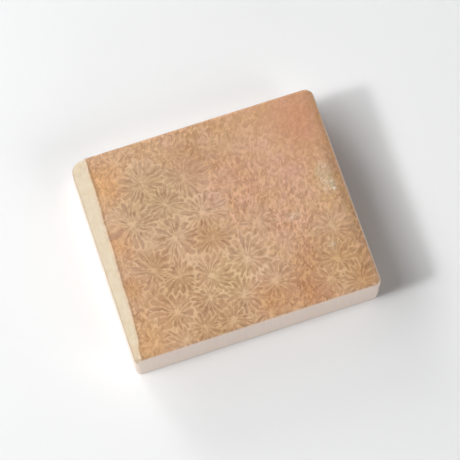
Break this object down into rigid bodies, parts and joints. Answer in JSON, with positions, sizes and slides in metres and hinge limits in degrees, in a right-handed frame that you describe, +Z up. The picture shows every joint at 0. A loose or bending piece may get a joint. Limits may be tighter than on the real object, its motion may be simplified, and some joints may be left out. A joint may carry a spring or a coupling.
{
  "type": "polished fossil coral block",
  "caption": "Polished rectangular block of fossil coral with flower-like corallite pattern, flat base and bevelled short sides.",
  "frame": {"origin": "middle of the flat base that the block rests on", "axes": "+X along the long side, +Y along the short side, +Z up from the base to the polished top"},
  "size_m": [0.03, 0.0254, 0.0065],
  "materials": {
    "polished_coral": "polished agatized coral, tan with pale septa, glossy on top and satin on the sawn walls"
  },
  "bodies": {
    "root": {"coral_block": "polished_coral"}
  },
  "joints": []
}
